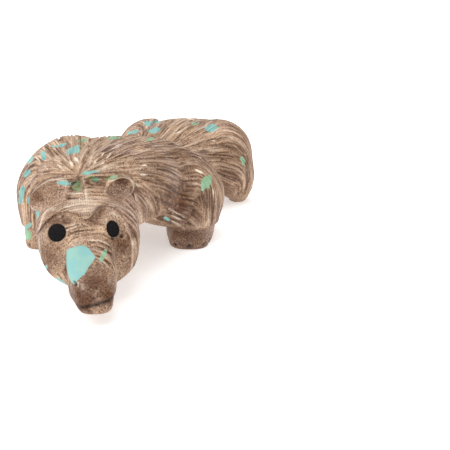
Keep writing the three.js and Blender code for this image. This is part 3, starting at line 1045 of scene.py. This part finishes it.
def carve_fur():
    """Cuts the fur and the pits into the skin. Returns the points, and for each how deep a stroke has cut
    it, the number of its stroke, its streak and how smooth it is."""
    way, on_head = fur_flow(points, normals)
    on_tail = smoothstep(*TAIL_FUR, points[:, 1])
    smooth = smooth_places()

    def varied(body, head, tail):
        return body + head * on_head + tail * on_tail

    on_mane = smoothstep(5, -6, points[:, 1] + points[:, 0]) * smoothstep(5, 8, points[:, 2]) * (1 - on_head)
    depth = (varied(*STROKE_DEPTH) + MANE_DEEPER * on_mane) * (1 - smooth)
    cut, lock = comb(way, varied(*STROKE_GAP), varied(*STROKE_LENGTH), depth)
    streak = streaks(way)
    sunk = cut * depth + STREAK_DEPTH * (1 - smooth) * streak + PIT_DEPTH * pits
    return points - normals * sunk[:, None], cut * (1 - smooth), lock, streak, smooth


points, cut, lock, streak, smooth = carve_fur()
points[:, 2] = np.maximum(points[:, 2], 0)

low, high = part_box("wolf")
middle = (np.array(low) + np.array(high)) / 2 / MM
form_middle = (verts.min(0) + verts.max(0)) / 2
shift = (middle - form_middle) * [1, 1, 0]
skin.vertices.foreach_set("co", ((points + shift) * MM).astype(np.float32).ravel())
skin.update()

# What the stone's material reads at each point of the skin.
carved = {
    "cut": cut,
    "lock": lock,
    "streak": streak * (1 - smooth),
    "smooth": smooth,
    "patch": patch,
    "patch_tone": patch_tone,
    "rust_and_shade": rust_and_shade,
    # Painted shade: the pits, the mouth slit and the notches between the toes are painted near black.
    "hollow": np.clip(np.maximum.reduce([pits, in_mouth, in_notch]), 0, 1),
    # Painted highlight: the raised rims of the hollows are painted pale at half strength.
    "pale_and_highlight": np.maximum(pale_and_highlight, 0.5 * rim),
}
for name, values in carved.items():
    attribute = skin.attributes.new(name, "FLOAT", "POINT")
    attribute.data.foreach_set("value", values.astype(np.float32))

skin = evaluated(skin, ("DECIMATE", {"ratio": MOST_TRIANGLES / (2 * len(skin.polygons))}))


def add_piece(name, mesh, node, material):
    piece = bpy.data.objects.new(name, mesh)
    bpy.context.scene.collection.objects.link(piece)
    mesh.shade_smooth()
    mesh.materials.clear()
    mesh.materials.append(material)
    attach(piece, "root")
    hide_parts(node)


def eye_stone(side):
    """A round pin with a low dome: a profile of radius and height, turned about the eye's axis."""
    rise = np.linspace(0, math.pi / 2, 10)
    radius = EYE_RADIUS[side] * np.concatenate([[1, 1], np.cos(rise[1:-1])])
    height = np.concatenate([[-EYE_DEPTH, 0], EYE_DOME * np.sin(rise[1:-1])])
    around = circle(64)
    x = radius[:, None] * np.cos(around)
    y = radius[:, None] * np.sin(around)
    z = np.broadcast_to(height[:, None], x.shape)
    verts, faces = closed(apply(eye_axes(side), np.stack([x, y, z], axis=-1)))
    return new_mesh("eye", (verts + shift) * MM, faces[:, ::-1])


def linear(hex_colour):
    """An sRGB hex colour as the linear values a shader takes."""
    values = [int(hex_colour[i:i + 2], 16) / 255 for i in (1, 3, 5)]
    return [*(v / 12.92 if v <= 0.04045 else ((v + 0.055) / 1.055) ** 2.4 for v in values), 1]


def new_material(name):
    material = bpy.data.materials.new(name)
    material.use_nodes = True
    return material, material.node_tree, material.node_tree.nodes["Principled BSDF"]


def feed(node, inputs):
    """Gives a node its inputs, by name or number. Each is the output of another node, a hex colour or a
    plain value."""
    for key, value in inputs.items():
        if isinstance(value, bpy.types.NodeSocket):
            node.id_data.links.new(value, node.inputs[key])
        else:
            node.inputs[key].default_value = linear(value) if isinstance(value, str) else value


def add(tree, kind, inputs, **settings):
    """Adds a node with its inputs and its own settings, and returns its outputs."""
    node = tree.nodes.new("ShaderNode" + kind)
    for name, value in settings.items():
        setattr(node, name, value)
    feed(node, inputs)
    return node.outputs


# Numbers of a Mix node's sockets for colours.
SHARE, UNDER, OVER, MIXED = 0, 6, 7, 2


def coat(under, over, value, low, high, most=1.0, times=1.0, ease="SMOOTHSTEP", way="MIX"):
    """A colour laid over another: none of it up to the low end of the value, and the share given as most
    from the high end, times a second value. Each colour is a hex colour or an output."""
    tree = value.id_data
    reach = {"Value": value, "From Min": low, "From Max": high}
    share = add(tree, "MapRange", reach, interpolation_type=ease)[0]
    for factor in (times, most):
        share = add(tree, "Math", {0: share, 1: factor}, operation="MULTIPLY", use_clamp=True)[0]
    colours = {SHARE: share, UNDER: under, OVER: over}
    return add(tree, "Mix", colours, data_type="RGBA", blend_type=way)[MIXED]


# In millimetres: the stone's clouds, its grains, its spots of rust and painted shade, and the mottling of the
# blue-green mineral in it, and the grains of the eyes.
STONE_SIZES = (5.0, 0.2, 1.1, 1.4)
EYE_GRAIN = 0.25
# How strongly dark and pale grains show in the fur, and how much more where the stone is smooth.
DARK_GRAINS = 0.45
PALE_GRAINS = 0.25
MORE_WHERE_SMOOTH = 0.35


def stone_material():
    """Fine-grained brown matrix stone, carved with a burr and lightly tumbled, so the ridges between the cuts
    have a satin polish, some cuts stay cream-coloured and rough while the rest are painted dark as shade in
    the groove, and blue-green mineral fills old cracks."""
    material, tree, shader = new_material("tumbled_matrix_stone")
    cut, lock, streak, smooth, patch, tone, rust_and_shade, hollow, pale_and_highlight = (
        add(tree, "Attribute", {}, attribute_name=name)["Fac"] for name in carved
    )
    place = add(tree, "TexCoord", {})["Object"]
    clouds, grain, rust_and_shade_spots, mottling = (
        add(tree, "TexNoise", {"Vector": place, "Scale": 1 / (size * MM)})["Fac"] for size in STONE_SIZES
    )
    dark_grains, pale_grains = (
        add(tree, "MapRange", {"Value": smooth, "To Min": share, "To Max": share + MORE_WHERE_SMOOTH})[0]
        for share in (DARK_GRAINS, PALE_GRAINS)
    )
    brown = coat("#64422b", "#cba98b", streak, -1.8, 1.8)
    brown = coat(brown, "#857078", clouds, 0.45, 0.65, 0.22)
    brown = coat(brown, "#ecd8c2", lock, 0.5, 0.7, 0.85, times=cut)
    # Painted shade: the cuts of the other strokes are painted dark brown, as shade in the groove.
    brown = coat(brown, "#3a261a", lock, 0.5, 0.3, 0.75, times=cut)
    brown = coat(brown, "#3a271a", grain, 0.52, 0.68, times=dark_grains)
    brown = coat(brown, "#d9c0a8", grain, 0.46, 0.34, times=pale_grains)
    # Rust brown multiplied in: partly the stone's rust, partly painted shade on sides turned from the light
    # and under the brow.
    brown = coat(brown, "#8c6b4e", rust_and_shade_spots, 0.1, 0.5, times=rust_and_shade, way="MULTIPLY")
    # Pale chips, scratches and veins, with painted highlight on lit edges, the forehead and the rims of the
    # hollows.
    brown = coat(brown, "#f0e0cc", pale_and_highlight, 0, 1, 0.9, ease="LINEAR")
    mineral = coat("#7dafac", "#84a883", tone, TURQUOISE, GREEN, ease="LINEAR")
    mineral = coat(mineral, "#77753c", tone, GREEN, OLIVE, ease="LINEAR")
    mineral = coat(mineral, "#96b7a2", mottling, 0.4, 0.65, 0.5)
    # Painted shade: the same dark groove colour in the cuts across the mineral.
    mineral = coat(mineral, "#5b4a3c", lock, 0.5, 0.3, 0.6, times=cut)
    uneven = add(tree, "Math", {0: grain, 1: 0.12, 2: patch}, operation="MULTIPLY_ADD")[0]
    colour = coat(brown, mineral, uneven, 0.05, 0.12)
    # Painted shade: near black in the pits, the mouth slit and the notches between the toes.
    colour = coat(colour, "#21140f", hollow, 0, 1, 0.85, ease="LINEAR")
    worn = add(tree, "Math", {0: grain, 1: 0.3, 2: cut}, operation="MULTIPLY_ADD")[0]
    feed(shader, {
        "Base Color": colour,
        "Roughness": add(tree, "MapRange", {"Value": worn, "To Min": 0.5, "To Max": 0.75})[0],
        "Specular IOR Level": 0.3,
        "Normal": add(tree, "Bump", {"Strength": 0.5, "Distance": 0.05 * MM, "Height": grain})[0],
    })
    return material


def eye_material():
    """Black stone, ground flat and hardly polished: near black with a soft broad shine."""
    material, tree, shader = new_material("ground_black_stone")
    place = add(tree, "TexCoord", {})["Object"]
    grain = add(tree, "TexNoise", {"Vector": place, "Scale": 1 / (EYE_GRAIN * MM)})["Fac"]
    feed(shader, {
        "Base Color": coat("#0b090a", "#231e20", grain, 0.5, 0.75),
        "Roughness": 0.7,
        "Specular IOR Level": 0.12,
        "Normal": add(tree, "Bump", {"Strength": 0.3, "Distance": 0.03 * MM, "Height": grain})[0],
    })
    return material


add_piece("carved_wolf", skin, "wolf", stone_material())
black = eye_material()
for side, name in ((1, "left_eye"), (-1, "right_eye")):
    add_piece(name + "_stone", eye_stone(side), name, black)


def make_camera():
    data = bpy.data.cameras.new("camera")
    data.lens = data.sensor_width * FRONT.scale * FRONT.distance / IMAGE
    data.shift_x = (IMAGE / 2 - FRONT.origin_pixel[0]) / IMAGE
    data.shift_y = (FRONT.origin_pixel[1] - IMAGE / 2) / IMAGE
    data.clip_start = 0.005
    data.clip_end = 10
    camera = bpy.data.objects.new("camera", data)
    camera.matrix_world = Matrix((FRONT.right, FRONT.up, FRONT.back)).transposed().to_4x4()
    camera.location = (shift + FRONT.back * FRONT.distance) * MM
    bpy.context.scene.collection.objects.link(camera)
    bpy.context.scene.camera = camera


FLOOR_FLAT = 0.45
FLOOR_REACH = 1.3
FLOOR_RISE = 0.4
FLOOR_GLOW = 0.42


def make_floor():
    """A round white sweep: flat about the wolf, then rising with the square of the distance."""
    radius = np.concatenate([[0.02], np.linspace(FLOOR_FLAT, FLOOR_REACH, 40)])
    height = FLOOR_RISE * (np.clip(radius - FLOOR_FLAT, 0, None) / (FLOOR_REACH - FLOOR_FLAT)) ** 2
    around = circle(96)
    x, y = radius[:, None] * np.cos(around), radius[:, None] * np.sin(around)
    rings = np.stack([x, y, np.broadcast_to(height[:, None], x.shape)], axis=-1)
    verts, faces = closed(rings)
    within_rim = (faces < len(verts) - 1).all(axis=1)
    floor = bpy.data.objects.new("floor", new_mesh("floor", verts[:-1], faces[within_rim]))
    bpy.context.scene.collection.objects.link(floor)
    material, _, shader = new_material("lit_white_table")
    feed(shader, {
        "Base Color": "#f4f4f4",
        "Roughness": 0.9,
        "Emission Color": "#ffffff",
        "Emission Strength": FLOOR_GLOW,
    })
    floor.data.materials.append(material)
    floor.data.shade_smooth()


ROOM_LIGHT = 0.55
KEY_LIGHT = 2.5
KEY_SPREAD = 70
KEY_FROM = (-0.3, -0.25, 1.0)


def make_lights():
    """A white room and one broad soft light from above, in front and to the left of the view."""
    world = bpy.data.worlds.new("studio")
    bpy.context.scene.world = world
    world.use_nodes = True
    feed(world.node_tree.nodes["Background"], {"Color": "#ffffff", "Strength": ROOM_LIGHT})
    data = bpy.data.lights.new("soft_key", "SUN")
    data.energy = KEY_LIGHT
    data.angle = math.radians(KEY_SPREAD)
    lamp = bpy.data.objects.new("soft_key", data)
    lamp.rotation_mode = "QUATERNION"
    lamp.rotation_quaternion = Vector(KEY_FROM).to_track_quat("Z", "Y")
    bpy.context.scene.collection.objects.link(lamp)
    bpy.context.scene.view_settings.view_transform = "Standard"


make_camera()
make_floor()
make_lights()

bpy.context.view_layer.update()
